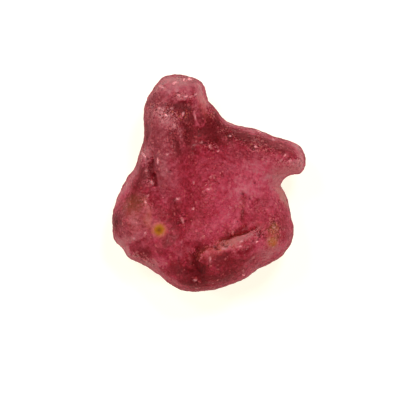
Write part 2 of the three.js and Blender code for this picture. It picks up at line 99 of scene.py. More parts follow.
PATCHES = {
    # greyer, duller skin: partly dull frosted skin, partly a painted sheen of reflected light
    "knob_dust_and_sheen": {"at": (-2.4, 6.4), "along": 2.2, "across": 1.6, "turn": 20, "dust_and_sheen": 0.5},
    "shoulder_dust_and_sheen": {"at": (-3.0, 3.8), "along": 2.0, "across": 1.5, "turn": -70, "dust_and_sheen": 0.65},
    "waist_dust_and_sheen": {"at": (-4.0, 1.3), "along": 1.8, "across": 1.2, "turn": -75, "dust_and_sheen": 0.5},
    "lobe_dust_and_sheen": {"at": (-5.2, -3.0), "along": 1.8, "across": 1.3, "turn": 80, "dust_and_sheen": 0.45},
    "notch_dust_and_sheen": {"at": (5.4, -1.0), "along": 0.9, "across": 0.35, "turn": -65, "dust_and_sheen": 0.5},
    # the knob and the neck: a painted highlight on the crown, painted shade under it, in the neck's core
    # and hollow and below the flake, and painted light on the pale rims
    "crown": {"at": (-2.6, 6.95), "along": 1.3, "across": 0.6, "turn": 15, "painted_light_and_tone": 0.7},
    "crown_right": {"at": (-0.5, 6.6), "along": 0.9, "across": 0.35, "turn": 103, "painted_light_and_tone": 0.7},
    "crown_mid": {"at": (-1.5, 6.5), "along": 0.7, "across": 0.35, "turn": 60, "painted_light_and_tone": 0.35},
    "crown_line": {"at": (-1.7, 5.95), "along": 1.3, "across": 0.22, "turn": 3, "painted_light_and_tone": 0.6},
    "knob_left": {"at": (-3.9, 5.6), "along": 0.9, "across": 0.5, "turn": 70, "painted_light_and_tone": -0.3},
    "under_crown": {"at": (-1.95, 5.4), "along": 1.3, "across": 0.33, "turn": -4, "painted_light_and_tone": -0.9},
    "shoulder": {"at": (-3.2, 4.75), "along": 1.1, "across": 0.7, "turn": -45, "painted_light_and_tone": 0.55},
    "neck_core": {"at": (-1.5, 4.2), "along": 1.3, "across": 0.4, "turn": 88, "painted_light_and_tone": -1.0},
    "neck_foot": {"at": (-1.15, 2.4), "along": 0.9, "across": 0.4, "turn": 90, "painted_light_and_tone": -0.45},
    "neck_pale_left": {
        "at": (-1.95, 3.4), "along": 0.8, "across": 0.25, "turn": 95,
        "painted_light_and_tone": 0.45, "dust_and_sheen": 0.3,
    },
    "neck_right": {
        "at": (0.2, 4.0), "along": 1.3, "across": 0.8, "turn": -45,
        "painted_light_and_tone": -0.9, "matt": 1.0, "speckle": 0.1,
    },
    "neck_low": {"at": (0.1, 2.95), "along": 1.2, "across": 0.35, "turn": -5, "painted_light_and_tone": -0.55, "matt": 0.8},
    "saddle_pale": {
        "at": (0.95, 3.7), "along": 0.8, "across": 0.22, "turn": -75,
        "painted_light_and_tone": 0.35, "dust_and_sheen": 0.2,
    },
    "flake_face": {"at": (-0.7, 4.5), "along": 0.5, "across": 0.3, "turn": 95, "painted_light_and_tone": 0.25, "dust_and_sheen": 0.3},
    "flake_left": {
        "at": (-0.95, 5.2), "along": 0.5, "across": 0.25, "turn": 80,
        "painted_light_and_tone": 0.5, "dust_and_sheen": 0.3,
    },
    "flake_foot": {"at": (-0.8, 3.65), "along": 0.5, "across": 0.35, "turn": 0, "painted_light_and_tone": -0.6},
    "neck_pale": {
        "at": (-0.4, 5.5), "along": 0.8, "across": 0.28, "turn": -75,
        "painted_light_and_tone": 0.65, "dust_and_sheen": 0.2, "ochre": 0.1,
    },
    "neck_left": {"at": (-4.45, 3.6), "along": 0.3, "across": 0.9, "turn": -3, "painted_light_and_tone": -0.8},
    "saddle": {"at": (-2.3, 2.6), "along": 1.1, "across": 0.42, "turn": 105, "painted_light_and_tone": -0.6},
    "saddle_edge": {"at": (0.6, 5.0), "along": 0.8, "across": 0.25, "turn": -50, "painted_light_and_tone": -0.6},
    # the arm: painted shade along it, and painted light on its thin edges, tip and underside
    "arm_shade": {"at": (2.6, 3.25), "along": 2.2, "across": 0.6, "turn": -14, "painted_light_and_tone": -0.6},
    "arm_outer": {
        "at": (5.3, 2.4), "along": 1.1, "across": 0.35, "turn": -20,
        "painted_light_and_tone": -0.35, "dust_and_sheen": 0.2,
    },
    "arm_tip": {"at": (6.5, 2.2), "along": 1.1, "across": 0.3, "turn": 100, "painted_light_and_tone": 0.5, "dust_and_sheen": 0.2},
    "arm_tip_rim": {"at": (6.15, 2.75), "along": 0.5, "across": 0.2, "turn": -35, "painted_light_and_tone": 0.6},
    "arm_edge": {"at": (2.7, 3.95), "along": 2.1, "across": 0.25, "turn": -20, "painted_light_and_tone": 0.6},
    "arm_edge_left": {"at": (1.6, 4.2), "along": 0.6, "across": 0.2, "turn": -25, "painted_light_and_tone": 0.5},
    "arm_foot": {"at": (2.6, 1.95), "along": 1.8, "across": 0.4, "turn": -8, "painted_light_and_tone": 0.15, "dust_and_sheen": 0.4},
    "arm_under": {"at": (6.0, 1.1), "along": 1.1, "across": 0.5, "turn": 5, "painted_light_and_tone": 0.9, "dust_and_sheen": 0.1},
    "arm_lip": {"at": (5.7, 0.6), "along": 1.3, "across": 0.3, "turn": 5, "painted_light_and_tone": 0.9, "dust_and_sheen": 0.2},
    # the dish: painted paler, a painted glow of the light let through its thin middle
    "dish_high": {"at": (0.7, 1.2), "along": 1.5, "across": 0.6, "turn": -10, "painted_light_and_tone": 0.22, "dust_and_sheen": 0.25},
    "dish_glow": {"at": (3.0, 0.3), "along": 1.9, "across": 1.0, "turn": 15, "painted_light_and_tone": 0.32},
    "dish_top": {"at": (3.1, 1.3), "along": 1.4, "across": 0.5, "turn": -5, "painted_light_and_tone": 0.4},
    "dish_pale": {"at": (2.0, -0.9), "along": 1.7, "across": 0.9, "turn": 10, "painted_light_and_tone": 0.38},
    "low_pale": {"at": (0.6, -3.1), "along": 1.0, "across": 0.4, "turn": 30, "painted_light_and_tone": 0.3},
    "swell_pale": {"at": (0.9, -2.3), "along": 1.2, "across": 0.5, "turn": 35, "painted_light_and_tone": 0.35},
    "swell_right": {"at": (2.0, -2.6), "along": 0.8, "across": 0.45, "turn": 60, "painted_light_and_tone": 0.3},
    "dish_spot": {"at": (0.0, -0.4), "along": 0.25, "across": 0.15, "turn": 0, "painted_light_and_tone": 0.5},
    # the left side: painted shade on its flank, lobe rim, valleys and under the lobe, and painted light
    # on its pale rims and edges
    "leaf": {"at": (-3.2, 1.4), "along": 0.9, "across": 0.35, "turn": -80, "painted_light_and_tone": 0.15},
    "leaf_low": {"at": (-2.9, 0.3), "along": 1.6, "across": 0.6, "turn": -75, "painted_light_and_tone": 0.15, "dust_and_sheen": 0.3},
    "leaf_right": {
        "at": (-2.1, 0.3), "along": 0.8, "across": 0.25, "turn": 90,
        "painted_light_and_tone": 0.15, "dust_and_sheen": 0.2,
    },
    "waist": {"at": (-4.3, 2.0), "along": 0.6, "across": 0.4, "turn": 70, "painted_light_and_tone": 0.8},
    "left_flank": {"at": (-4.7, 0.3), "along": 1.5, "across": 0.42, "turn": 65, "painted_light_and_tone": -0.55},
    "left_edge": {"at": (-6.2, -0.9), "along": 1.2, "across": 0.25, "turn": 60, "painted_light_and_tone": 0.4},
    "lobe": {"at": (-5.3, -2.7), "along": 0.9, "across": 0.6, "turn": 100, "painted_light_and_tone": 0.2, "ochre": 0.07},
    "lobe_inner": {
        "at": (-4.3, -2.6), "along": 0.7, "across": 0.3, "turn": 90,
        "painted_light_and_tone": 0.15, "ochre": 0.12,
    },
    "lobe_stain": {
        "at": (-5.35, -1.5), "along": 0.9, "across": 0.65, "turn": 0,
        "painted_light_and_tone": -0.2, "olive": 0.28, "ochre": 0.05,
    },
    "lobe_top": {"at": (-4.8, -1.1), "along": 0.5, "across": 0.3, "turn": 60, "painted_light_and_tone": -0.35},
    "lobe_low": {"at": (-5.3, -3.9), "along": 1.0, "across": 0.4, "turn": 20, "painted_light_and_tone": 0.65},
    "lobe_edge": {"at": (-6.05, -4.6), "along": 0.8, "across": 0.3, "turn": -55, "painted_light_and_tone": 0.8},
    "valley_rim": {
        "at": (-3.3, -0.5), "along": 1.0, "across": 0.2, "turn": -70,
        "painted_light_and_tone": 0.25, "dust_and_sheen": 0.2,
    },
    "flank_low": {"at": (-4.1, -1.1), "along": 0.7, "across": 0.3, "turn": -60, "painted_light_and_tone": -0.4},
    "lobe_rim": {"at": (-6.65, -2.7), "along": 0.7, "across": 0.4, "turn": 90, "painted_light_and_tone": -0.95},
    "valley": {
        "at": (-2.3, -2.2), "along": 1.0, "across": 0.5, "turn": 100,
        "painted_light_and_tone": -0.45, "matt": 1.0, "speckle": -0.06,
    },
    "ring_valley": {"at": (-3.2, -2.6), "along": 0.9, "across": 0.4, "turn": 110, "painted_light_and_tone": -0.3},
    "valley_mid": {
        "at": (-1.0, -2.0), "along": 1.2, "across": 0.6, "turn": 60,
        "painted_light_and_tone": -0.1, "matt": 0.6,
    },
    "valley_low": {
        "at": (-1.6, -3.0), "along": 0.7, "across": 0.35, "turn": 55,
        "painted_light_and_tone": -0.25, "matt": 0.5,
    },
    "left_under": {
        "at": (-2.8, -4.0), "along": 0.9, "across": 0.5, "turn": 50,
        "painted_light_and_tone": -0.4, "speckle": -0.1,
    },
    # the foot: painted shade in its hollow, notch, toe and front, and painted light on its pale rims and
    # ledge
    "left_foot": {"at": (-4.8, -4.9), "along": 0.8, "across": 0.4, "turn": -20, "painted_light_and_tone": -0.45},
    "left_foot_low": {
        "at": (-2.0, -6.15), "along": 1.0, "across": 0.5, "turn": -20,
        "painted_light_and_tone": -0.75, "matt": 0.5,
    },
    "foot_edge": {"at": (-3.4, -5.6), "along": 0.9, "across": 0.3, "turn": -28, "painted_light_and_tone": 0.6},
    "foot_rim": {"at": (-4.2, -6.0), "along": 1.2, "across": 0.3, "turn": -30, "painted_light_and_tone": 0.65},
    "foot_lip": {"at": (-5.7, -5.2), "along": 1.1, "across": 0.3, "turn": -42, "painted_light_and_tone": 0.4},
    "hollow_top": {
        "at": (-0.8, -5.05), "along": 0.75, "across": 0.4, "turn": 55,
        "painted_light_and_tone": -1.3, "matt": 1.0,
    },
    "ledge_left": {
        "at": (-1.7, -4.8), "along": 0.6, "across": 0.45, "turn": 60,
        "painted_light_and_tone": 0.3, "dust_and_sheen": 0.4,
    },
    "hollow": {
        "at": (-0.7, -6.2), "along": 0.8, "across": 0.6, "turn": 75,
        "painted_light_and_tone": -1.1, "matt": 1.0, "dust_and_sheen": -0.4, "speckle": -0.1,
    },
    "toe": {
        "at": (-1.2, -7.1), "along": 0.9, "across": 0.5, "turn": 0,
        "painted_light_and_tone": -0.45, "dust_and_sheen": -0.6, "matt": 0.6,
    },
    "toe_rim": {"at": (-2.4, -7.2), "along": 0.8, "across": 0.22, "turn": -30, "painted_light_and_tone": 0.3},
    "toe_edge": {
        "at": (1.0, -6.8), "along": 2.0, "across": 0.5, "turn": 14,
        "painted_light_and_tone": -0.4, "dust_and_sheen": -0.6, "matt": 0.6,
    },
    "foot_band": {
        "at": (1.1, -5.8), "along": 1.8, "across": 0.8, "turn": 12,
        "painted_light_and_tone": -0.3, "dust_and_sheen": -0.35,
    },
    "ledge_front": {
        "at": (0.9, -5.3), "along": 0.9, "across": 0.35, "turn": 15,
        "painted_light_and_tone": -0.35, "matt": 0.6,
    },
    "foot_right_edge": {"at": (2.9, -6.4), "along": 0.9, "across": 0.22, "turn": 33, "painted_light_and_tone": 0.4},
    "foot_notch": {
        "at": (2.8, -4.65), "along": 0.6, "across": 0.3, "turn": 25,
        "painted_light_and_tone": -0.8, "speckle": -0.06,
    },
    "ledge_top": {
        "at": (1.2, -4.35), "along": 1.8, "across": 0.4, "turn": 22,
        "painted_light_and_tone": 0.1, "matt": 0.8, "ochre": 0.14,
    },
    # the right flank: painted light on its pale edges and low face, beside ochre and olive stains of its
    # own
    "right_low": {"at": (3.6, -4.4), "along": 1.2, "across": 0.5, "turn": 20, "painted_light_and_tone": 0.45},
    "front_pale": {"at": (3.6, -5.0), "along": 1.0, "across": 0.3, "turn": 15, "painted_light_and_tone": 0.2, "dust_and_sheen": 0.25},
    "right_low_edge": {"at": (4.6, -4.9), "along": 1.0, "across": 0.4, "turn": 35, "painted_light_and_tone": 0.5},
    "right_flank": {"at": (4.8, -3.4), "along": 0.8, "across": 0.5, "turn": 90, "painted_light_and_tone": -0.2},
    "right_edge": {
        "at": (4.65, -0.1), "along": 1.5, "across": 0.42, "turn": 90,
        "painted_light_and_tone": 0.5, "dust_and_sheen": 0.15,
    },
    "dish_end": {"at": (4.1, 0.0), "along": 0.9, "across": 0.3, "turn": 90, "painted_light_and_tone": 0.2},
    "right_stain": {"at": (4.5, -3.8), "along": 0.9, "across": 0.5, "turn": 80, "ochre": 0.12},
    "ledge_end": {
        "at": (3.6, -3.0), "along": 0.5, "across": 0.3, "turn": 0,
        "painted_light_and_tone": 0.25, "dust_and_sheen": 0.2, "ochre": 0.05,
    },
    "notch_rim": {
        "at": (5.3, -0.9), "along": 0.8, "across": 0.3, "turn": -65,
        "painted_light_and_tone": 0.75, "olive": 0.05, "ochre": 0.15,
    },
    "arm_stain": {"at": (4.8, 1.2), "along": 0.7, "across": 0.4, "turn": 0, "olive": 0.15},
    # drifts of small crystal grains, pale partly as painted glints
    "top_grains": {"at": (-1.5, 7.45), "along": 0.7, "across": 0.15, "turn": -5, "speckle": 1.2},
    "rim_grains": {"at": (-3.4, 6.7), "along": 0.7, "across": 0.35, "turn": 45, "speckle": 0.8},
    "crown_grains": {"at": (-1.7, 6.1), "along": 1.0, "across": 0.25, "turn": 3, "speckle": 1.3},
    "knob_grains": {
        "at": (-2.8, 4.9), "along": 1.2, "across": 0.5, "turn": -30,
        "speckle": 1.1, "painted_light_and_tone": -0.1,
    },
    "left_amber": {
        "at": (-4.1, 5.4), "along": 0.5, "across": 0.2, "turn": 70,
        "speckle": 0.4, "amber": 0.4,
    },
    "edge_amber": {
        "at": (-0.1, 5.3), "along": 0.5, "across": 0.2, "turn": -60,
        "speckle": 0.5, "amber": 0.6,
    },
    "knob_amber": {
        "at": (-1.8, 4.9), "along": 0.7, "across": 0.4, "turn": 20,
        "painted_light_and_tone": -0.25, "dust_and_sheen": -0.3, "speckle": 0.3, "amber": 0.6,
    },
    "neck_grains": {"at": (-2.6, 4.0), "along": 1.4, "across": 0.9, "turn": -40, "speckle": 0.4},
    "saddle_grains": {"at": (0.2, 2.6), "along": 0.8, "across": 0.25, "turn": -10, "speckle": 0.9},
    "arm_grains": {"at": (3.0, 3.0), "along": 2.2, "across": 0.5, "turn": -20, "speckle": 0.4},
    "mid_arm_grains": {"at": (3.3, 2.5), "along": 0.5, "across": 0.3, "turn": 0, "speckle": 0.5},
    "tip_grains": {"at": (5.8, 1.4), "along": 0.9, "across": 0.45, "turn": 0, "speckle": 0.9},
    "waist_grains": {"at": (-4.5, 1.8), "along": 0.8, "across": 0.4, "turn": -70, "speckle": 0.6},
    "crevice_grains": {"at": (-4.1, 0.1), "along": 0.4, "across": 0.3, "turn": 0, "speckle": 0.5},
    "lobe_grains": {"at": (-4.4, -1.3), "along": 0.6, "across": 0.3, "turn": -60, "speckle": 0.5},
    "valley_grains": {"at": (-1.9, -2.6), "along": 0.6, "across": 0.3, "turn": 80, "speckle": 0.35},
    "ledge_grains": {
        "at": (0.8, -4.35), "along": 1.1, "across": 0.3, "turn": 22,
        "speckle": 0.7, "amber": 0.3,
    },
    "ledge_end_grains": {"at": (3.3, -3.6), "along": 0.7, "across": 0.4, "turn": 20, "speckle": 1.0},
    "ring_grains": {
        "at": (4.6, -3.5), "along": 1.0, "across": 0.5, "turn": 80,
        "speckle": 0.9, "amber": 0.45,
    },
    "hollow_grains": {
        "at": (-0.8, -5.0), "along": 0.6, "across": 0.4, "turn": 0,
        "speckle": 0.6, "amber": 0.3,
    },
    "edge_grains": {
        "at": (-4.6, -5.4), "along": 1.0, "across": 0.3, "turn": -22,
        "speckle": 1.0, "amber": 0.1,
    },
}

# Seams: the crack, the crevice and the creases are darkened with painted shade, and the raised lips, rims
# and flake edge are painted paler, partly as painted highlights.
SEAMS = {
    "flake": {
        "path": [(-1.05, 5.1), (-0.95, 4.6), (-0.8, 4.2), (-0.55, 3.95), (-0.3, 4.3), (-0.25, 4.6)],
        "half_width": 0.08, "rise": 0.06, "painted_light_and_tone": 0.7,
    },
    "saddle_rim": {
        "path": [(0.0, 5.75), (0.5, 5.1), (0.95, 4.55), (1.6, 4.2)],
        "half_width": 0.12, "rise": 0.05, "painted_light_and_tone": 0.3,
    },
    "ledge_lip": {
        "path": [(1.2, -4.3), (2.3, -3.95), (3.1, -3.5)],
        "half_width": 0.3, "rise": 0.08, "painted_light_and_tone": 0.9,
    },
    "ledge_lip_left": {
        "path": [(0.1, -4.85), (0.7, -4.72), (1.4, -4.55)],
        "half_width": 0.2, "rise": 0.1, "painted_light_and_tone": 0.4,
    },
    "ledge_crack": {
        "path": [(0.9, -4.0), (1.65, -3.75), (2.3, -3.62), (2.9, -3.32), (3.3, -3.1)],
        "half_width": 0.07, "rise": -0.25, "painted_light_and_tone": -1.0,
    },
    "ledge_shade": {
        "path": [(1.4, -3.65), (2.2, -3.45), (2.8, -3.1)],
        "half_width": 0.22, "rise": 0, "painted_light_and_tone": -0.5,
    },
    "swell_crease": {
        "path": [(2.45, -0.9), (2.4, -1.8), (2.4, -2.6)],
        "half_width": 0.18, "rise": -0.08, "painted_light_and_tone": -0.6,
    },
    "foot_ring": {
        "path": [(-0.15, -5.75), (-0.55, -5.45), (-0.5, -5.05), (-0.1, -4.85)],
        "half_width": 0.15, "rise": 0.08, "painted_light_and_tone": 0.5,
    },
    "left_crevice": {
        "path": [(-4.05, 2.1), (-4.15, 1.3), (-3.95, 0.6), (-3.8, -0.05)],
        "half_width": 0.15, "rise": -0.2, "painted_light_and_tone": -0.6,
    },
    "lobe_streak": {
        "path": [(-4.5, -1.1), (-4.25, -1.8), (-4.3, -3.0)],
        "half_width": 0.18, "rise": 0.05, "painted_light_and_tone": 0.2, "ochre": 0.06,
    },
    "lobe_crease": {
        "path": [(-6.1, -4.55), (-5.3, -4.35), (-4.6, -4.1)],
        "half_width": 0.12, "rise": -0.12, "painted_light_and_tone": -0.2,
    },
    "left_rim": {
        "path": [(-5.2, 0.9), (-5.7, 0.2), (-6.15, -0.6)],
        "half_width": 0.15, "rise": 0, "painted_light_and_tone": 0.3,
    },
}

# Round ochre stains in a pale halo, with an olive middle.
RINGS = {
    "lobe_ring": {"at": (-3.5, -3.3), "radius": 0.37, "stain": 1.0, "middle": 1.0},
    "upper_ring": {"at": (4.6, -3.1), "radius": 0.24, "stain": 0.15, "middle": 0.35},
    "lower_ring": {"at": (4.5, -4.15), "radius": 0.3, "stain": 0.4, "middle": 0.1},
}
RING_OCHRE = 0.95  # at full stain
RING_MIDDLE = 0.55  # the middle's share of the radius
HALO_PLACE = 1.2  # in radii from the middle
HALO_WIDTH = 0.35  # in radii
HALO_TONE = 0.5
HALO_OCHRE = 0.2

# Single pits, sunk in and darkened with painted shade: x, y and radius.
DARK_PITS = [
    # the left side
    (-4.4, 1.7, 0.1), (-4.15, 1.3, 0.16), (-3.92, 0.5, 0.14), (-3.8, -0.1, 0.12),
    (-2.72, 0.85, 0.1), (-2.45, -1.2, 0.12), (-2.42, -1.45, 0.1), (-2.1, -2.8, 0.12),
    # the arm and the dish
    (3.15, 2.45, 0.11), (3.25, 0.05, 0.09), (2.35, -0.75, 0.11), (2.9, -1.1, 0.09),
    # the ledge and the foot
    (1.0, -4.28, 0.1), (1.26, -4.42, 0.13), (0.4, -4.4, 0.14), (0.6, -4.6, 0.12),
    (3.5, -3.6, 0.12), (-0.9, -4.7, 0.14), (-1.1, -5.3, 0.14), (-0.7, -6.3, 0.2),
]
PIT_DEPTH = 0.2

# Small fresh breaks that catch the light, and are also painted pale as a painted highlight: x, y, half
# length, half width and turn. Each faces one of three ways, whichever is nearest to its own.
FACETS = [
    # the knob
    (-1.35, 7.4, 0.2, 0.12, -15), (-1.75, 7.35, 0.14, 0.1, 60), (-3.3, 6.8, 0.25, 0.1, -20),
    (-2.4, 7.1, 0.25, 0.07, 20), (-2.1, 6.2, 0.2, 0.12, -20), (-1.6, 6.15, 0.2, 0.09, 20),
    (-0.9, 6.3, 0.15, 0.08, 40), (-1.25, 6.1, 0.12, 0.08, 30), (-2.0, 5.95, 0.12, 0.07, 0),
    (-2.6, 5.3, 0.14, 0.08, -10), (-3.5, 5.3, 0.12, 0.1, 0),
    # the neck
    (-3.0, 4.8, 0.15, 0.09, -30), (-1.8, 4.9, 0.17, 0.1, 80), (-2.4, 4.1, 0.17, 0.08, -60),
    (-0.95, 4.7, 0.28, 0.06, -75),
    # the left side
    (-4.6, 2.0, 0.3, 0.12, -60), (-3.6, 1.6, 0.3, 0.08, -85), (-2.9, 2.0, 0.15, 0.06, -75),
    (-4.4, 0.9, 0.13, 0.09, 0), (-4.0, 0.05, 0.18, 0.12, -40), (-2.2, -1.1, 0.22, 0.11, 15),
    (-4.45, -1.35, 0.2, 0.07, -65), (-4.3, -0.9, 0.12, 0.07, 60), (-1.85, -2.65, 0.22, 0.07, -65),
    (-4.5, -3.5, 0.12, 0.08, 0), (-5.3, -3.9, 0.12, 0.08, 0),
    # the saddle and the arm
    (0.1, 2.6, 0.16, 0.1, -70), (-0.5, 2.9, 0.1, 0.08, 30), (0.7, 2.3, 0.12, 0.07, 50),
    (-1.0, 2.7, 0.1, 0.07, 0), (1.5, 3.35, 0.13, 0.05, -5), (3.3, 2.6, 0.1, 0.08, 40),
    (4.6, 3.1, 0.12, 0.08, -40), (3.6, 3.7, 0.2, 0.09, -25), (5.4, 2.0, 0.1, 0.07, 30),
    (5.1, 1.6, 0.11, 0.09, 60), (5.75, 1.6, 0.12, 0.08, 30), (6.4, 1.6, 0.12, 0.08, -30),
    # the dish
    (-1.05, 0.05, 0.12, 0.07, 90), (-1.1, -1.8, 0.12, 0.08, 40), (0.0, -0.4, 0.12, 0.08, 20),
    # the right flank and the foot
    (4.6, -3.1, 0.12, 0.08, 0), (3.4, -4.1, 0.11, 0.08, 30), (2.3, -4.1, 0.15, 0.06, 10),
    (2.2, -4.45, 0.12, 0.07, 20), (1.1, -4.6, 0.15, 0.06, 15), (0.1, -5.35, 0.2, 0.07, 88),
    (-0.95, -6.85, 0.15, 0.08, 0), (2.5, -6.5, 0.12, 0.08, 40),
]
FACET_NORMALS = [(0.11, 0.22, 0.97), (0.41, -0.11, 0.91), (-0.4, 0.06, 0.91)]
FACET_STEP = 0.1  # the most that a facet may cut into the skin or stand out of it
FACET_EDGE = (0.7, 1.2)  # it fades out between these shares of its half length and half width
FACET_LOWEST = 0.15  # and ends where the skin's normal is less high than this

# ---- Colour and surface -------------------------------------------------------------------------

SEED_SHIFT = (0.37, -0.23, 0.11)  # from one seed of a texture to the next, in metres
NOISE_DETAIL = 3.0
NOISE_SPAN = (0.25, 0.75)  # where nearly all values of a noise texture lie

# Size, strength and seed of each noise.
MOTTLING = [(0.9, 0.12, 1), (0.4, 0.27, 2), (0.18, 0.26, 3)]
GRIT = (0.11, 1.5, 4)  # fine mottling of the tone among the grains
FINE_LUMPS = (0.25, 1.0, 5)

TONE_LIMITS = (-0.8, 0.95)  # of the patches and seams together, before the mottling
BODY_COLOURS = [  # by tone with its painted light and shade, from deep to pale
    (0.0, (0.08, 0.0015, 0.004)),
    (0.3, (0.25, 0.02, 0.035)),
    (0.5, (0.5, 0.058, 0.105)),
    (0.7, (0.8, 0.15, 0.26)),
    (1.0, (0.92, 0.46, 0.52)),
]
DUST_AND_SHEEN_COLOURS = [  # the same for the duller skin with its painted sheen
    (0.0, (0.07, 0.01, 0.013)),
    (0.5, (0.35, 0.11, 0.135)),
    (1.0, (0.86, 0.55, 0.55)),
]
# The rim's painted light: a painted glow as paler tone and a painted sheen as greyer skin.
RIM_PAINTED_GLOW = 0.35
RIM_PAINTED_SHEEN = 0.5
OCHRE = (0.85, 0.56, 0.004)
OLIVE = (0.22, 0.11, 0.002)
# The painted shade in the pits and in the dark grains.
PIT_SHADE_COLOUR = (0.08, 0.006, 0.01)
# Facets are also painted pale, a painted highlight on each fresh break.
FACET_HIGHLIGHT_COLOUR = (1.0, 0.6, 0.6)
FACET_HIGHLIGHT_STRENGTH = 0.5  # the share of this painted highlight colour in a facet

# The crystal grains, whose pale colour is partly painted glints.
SPECKLE_SHARE = 0.13  # of the places that could hold a grain, outside the drifts
DRIFT_SIZE = 0.8  # more and fewer of them alternate over this length
DRIFT_STRENGTH = 1.2
DRIFT_SEED = 31
DRIFT_LIMITS = (0.1, 2)  # the fewest and the most, as shares of their usual number
LARGE_GRAINS = {"size": 0.26, "seed": 3}
SMALL_GRAINS = {"size": 0.17, "seed": 4}
# Dark grains are small sunk pits, darkened with painted shade.
DARK_GRAINS = {"size": 0.22, "seed": 8}
DARK_SHARE = 0.4  # of the places that hold pale ones
GRAIN_WARP = 0.5  # how far a grain's outline strays, as a share of its size
WARP_SIZE = 0.6  # over this length, as a share of its size
GRAIN_SLOPE = (0.5, 0.25)  # it rises from nothing to its height between these parts of its cell
GRAIN_HEIGHT = 0.03
GRAIN_LEAN = 0.9  # how far their faces lean any way
GRAIN_AND_GLINT_COLOURS = [  # by the tone around the grain, brighter where the skin is painted brighter: partly grain colour, partly painted glints
    (0.0, (0.55, 0.07, 0.08)),
    (0.5, (0.92, 0.34, 0.34)),
    (1.0, (1.0, 0.62, 0.6)),
]
GRAIN_AND_GLINT_STRENGTH = 0.85  # the share of their pale colour, partly a painted glint, in pale grains
DARK_STRENGTH = (0.35, 0.8)  # and of the pits' painted shade in dark ones, where grains are rare and where they crowd
CROWDED = 0.5  # the speckle at which they do
AMBER = (1.0, 0.42, 0.15)
AMBER_SHARE = 0.02  # of the grains outside the amber patches
AMBER_STRENGTH = 0.7

# The clear stone.
REFRACTION = 1.76
CLEARNESS = 0.7  # the share of light that is let in, as the frosted skin throws back the rest
SHINE = (0.45, 0.2, 0.2)  # the tint of its reflections
ABSORPTION_COLOUR = (0.95, 0.1, 0.42)
ABSORPTION_DENSITY = 560.0  # per metre
ROUGHNESS = {"flank": 0.9, "level": 0.3, "facet": 0.27}


def new_mesh_object(name, vertices, faces):
    """A mesh object from vertices in millimetres."""
    mesh = bpy.data.meshes.new(name)
    mesh.from_pydata((vertices * MM).tolist(), [], faces.tolist())
    mesh.update()
    piece = bpy.data.objects.new(name, mesh)
    bpy.context.collection.objects.link(piece)
    return piece


# ---- Making the fine skin -----------------------------------------------------------------------


def smoothstep(values, low, high):
    share = np.clip((values - low) / (high - low), 0, 1)
    return share * share * (3 - 2 * share)


def fractal(points, size, seed):
    """Repeatable noise of about -1 to 1 at each point, with features of that size."""
    places = points / size + seed * FRACTAL_SHIFT
    return np.array([noise.fractal(Vector(place), *FRACTAL) for place in places])


def even_quads(node):
    """Vertices and quads of an even mesh over a CAD node's solid, in millimetres."""
    # The remesh modifier's smallest step is too coarse in metres, so a copy is made in millimetres.
    mesh = node.data.copy()
    coarse = np.empty(len(mesh.vertices) * 3)
    mesh.vertices.foreach_get("co", coarse)
    mesh.vertices.foreach_set("co", coarse / MM)
    work = bpy.data.objects.new("remesh_work", mesh)
    bpy.context.collection.objects.link(work)
    remesh = work.modifiers.new("remesh", "REMESH")
    remesh.mode = "VOXEL"
    remesh.voxel_size = SKIN_STEP
    evened = work.evaluated_get(bpy.context.evaluated_depsgraph_get()).to_mesh()
    vertices = np.empty(len(evened.vertices) * 3)
    evened.vertices.foreach_get("co", vertices)
    quads = np.array([face.vertices[:] for face in evened.polygons])
    work.to_mesh_clear()
    bpy.data.objects.remove(work)
    bpy.data.meshes.remove(mesh)
    return vertices.reshape(-1, 3), quads


class Skin:
    """The fine mesh while it is being worked on.

    Its facing is the normals from before the relief, and upper is 1 where they face up.
    """

    def __init__(self, vertices, quads):
        self.quads = quads
        edges = np.sort(np.concatenate([quads[:, [i, (i + 1) % 4]] for i in range(4)]), axis=1)
        self.edges = np.unique(edges, axis=0)
        self.degree = np.bincount(self.edges.ravel(), minlength=len(vertices))[:, None]
        self.points = self.smoothed(vertices)
        self.facing = self.normals()
        self.upper = smoothstep(self.facing[:, 2], *FACING_UP)

    def neighbour_mean(self, values):
        total = np.zeros_like(values)
        a, b = self.edges.T
        for column in range(values.shape[1]):
            total[:, column] += np.bincount(a, values[b, column], len(values))
            total[:, column] += np.bincount(b, values[a, column], len(values))
        return total / self.degree

    def smoothed(self, values):
        for _ in range(SMOOTH_ROUNDS):
            values = (values + self.neighbour_mean(values)) / 2
        return values

    def normals(self):
        corners = self.points[self.quads]
        across = np.cross(corners[:, 2] - corners[:, 0], corners[:, 3] - corners[:, 1])
        total = np.zeros_like(self.points)
        for i in range(4):
            for axis in range(3):
                total[:, axis] += np.bincount(self.quads[:, i], across[:, axis], len(total))
        return total / np.linalg.norm(total, axis=1, keepdims=True)

    def raise_by(self, heights):
        """Moves each point out along its normal, keeping the resting face flat."""
        self.points = self.points + heights[:, None] * self.normals()
        self.points[:, 2] = np.maximum(self.points[:, 2], 0)


def oval_place(points, at, along, across, turn):
    """Where each point lies over x and y, in half lengths and half widths of a turned oval."""
    c, s = np.cos(np.radians(turn)), np.sin(np.radians(turn))
    dx, dy = points[:, 0] - at[0], points[:, 1] - at[1]
    return (dx * c + dy * s) / along, (dy * c - dx * s) / across


def patch_shape(points, at, along, across, turn, **_):
    """A soft oval over x and y, 1 in its middle."""
    return np.exp(-np.hypot(*oval_place(points, at, along, across, turn)) ** 3)


def seam_shape(points, path, half_width, **_):
    """A soft band along a path over x and y, 1 on the path."""
    away = np.full(len(points), np.inf)
    for a, b in zip(np.array(path[:-1]), np.array(path[1:])):
        along = np.clip((points[:, :2] - a) @ (b - a) / ((b - a) @ (b - a)), 0, 1)
        nearest = a + along[:, None] * (b - a)
        away = np.minimum(away, np.linalg.norm(points[:, :2] - nearest, axis=1))
    return np.exp(-((away / half_width) ** 2))


